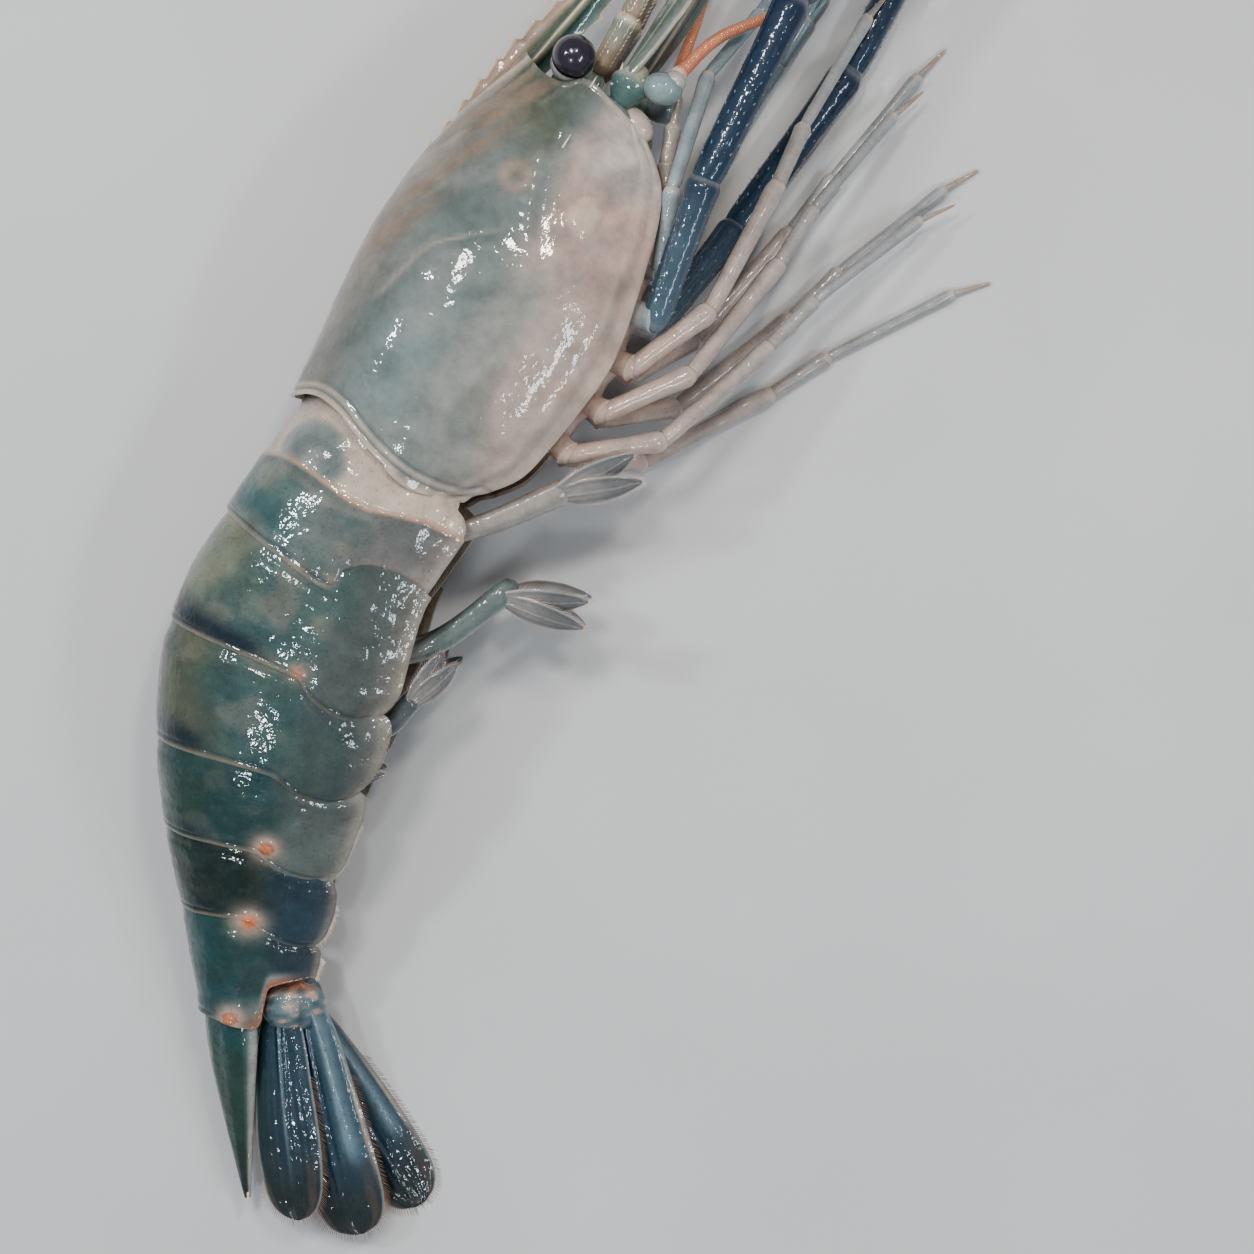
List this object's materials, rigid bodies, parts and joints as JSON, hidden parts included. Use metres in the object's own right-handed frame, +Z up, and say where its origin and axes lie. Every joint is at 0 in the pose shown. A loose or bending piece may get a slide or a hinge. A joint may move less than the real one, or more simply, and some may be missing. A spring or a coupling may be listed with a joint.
{
  "type": "giant river prawn",
  "caption": "Giant river prawn, a life-size still model of the whole animal lying on its left side with long blue claws, feelers, swimming legs and a tail fan",
  "frame": {"origin": "the point where the flat on the carapace's left side rests on the floor, under the middle of the carapace", "axes": "+Z up from the floor, the way the animal's right side faces; +Y towards the feelers and +X towards the belly, with the head at about 60 degrees from +X"},
  "size_m": [0.1686, 0.3565, 0.0326],
  "materials": {
    "carapace_shell": "clear glossy carapace and head shell, grey-blue to pale pink",
    "abdomen_shell": "clear glossy blue-green shell of the abdomen",
    "tail_shell": "dark blue-green glossy tail fan",
    "claw_shell": "dark blue hard shell of the claw arms",
    "leg_shell": "pale, thin glossy shell of legs and head limbs",
    "feeler": "orange-pink feelers",
    "swimmeret": "thin, clear grey-pink swimming legs",
    "cornea": "dark purple-grey shiny eye"
  },
  "bodies": {
    "root": {"abdomen_segment_1": "abdomen_shell", "abdomen_segment_2": "abdomen_shell", "abdomen_segment_3": "abdomen_shell", "abdomen_segment_4": "abdomen_shell", "abdomen_segment_5": "abdomen_shell", "abdomen_segment_6": "abdomen_shell", "antenna_base_left": "leg_shell", "antenna_base_right": "leg_shell", "antenna_left_inner": "feeler", "antenna_left_outer": "feeler", "antenna_right_inner": "feeler", "antenna_right_outer": "feeler", "antennal_scale_left": "carapace_shell", "antennal_scale_right": "carapace_shell", "antennule_left": "leg_shell", "antennule_right": "leg_shell", "carapace": "carapace_shell", "claw_arm_left": "claw_shell", "claw_arm_right": "claw_shell", "claw_finger_left": "claw_shell", "claw_finger_right": "claw_shell", "claw_hand_left": "claw_shell", "claw_hand_right": "claw_shell", "claw_wrist_left": "claw_shell", "claw_wrist_right": "claw_shell", "eye_left": "cornea", "eye_right": "cornea", "eyestalk_left": "leg_shell", "eyestalk_right": "leg_shell", "head": "carapace_shell", "maxilliped_left": "leg_shell", "maxilliped_right": "leg_shell", "pereopod_1_left": "leg_shell", "pereopod_1_right": "leg_shell", "pereopod_3_left": "leg_shell", "pereopod_3_right": "leg_shell", "pereopod_4_left": "leg_shell", "pereopod_4_right": "leg_shell", "pereopod_5_left": "leg_shell", "pereopod_5_right": "leg_shell", "pleopod_1_left": "swimmeret", "pleopod_1_right": "swimmeret", "pleopod_2_left": "swimmeret", "pleopod_2_right": "swimmeret", "pleopod_3_left": "swimmeret", "pleopod_3_right": "swimmeret", "pleopod_4_left": "swimmeret", "pleopod_4_right": "swimmeret", "pleopod_5_left": "swimmeret", "pleopod_5_right": "swimmeret", "telson": "tail_shell", "thorax": "leg_shell", "uropod_base_left": "tail_shell", "uropod_base_right": "tail_shell", "uropod_endopod_left": "tail_shell", "uropod_endopod_right": "tail_shell", "uropod_exopod_left": "tail_shell", "uropod_exopod_right": "tail_shell"}
  },
  "joints": []
}
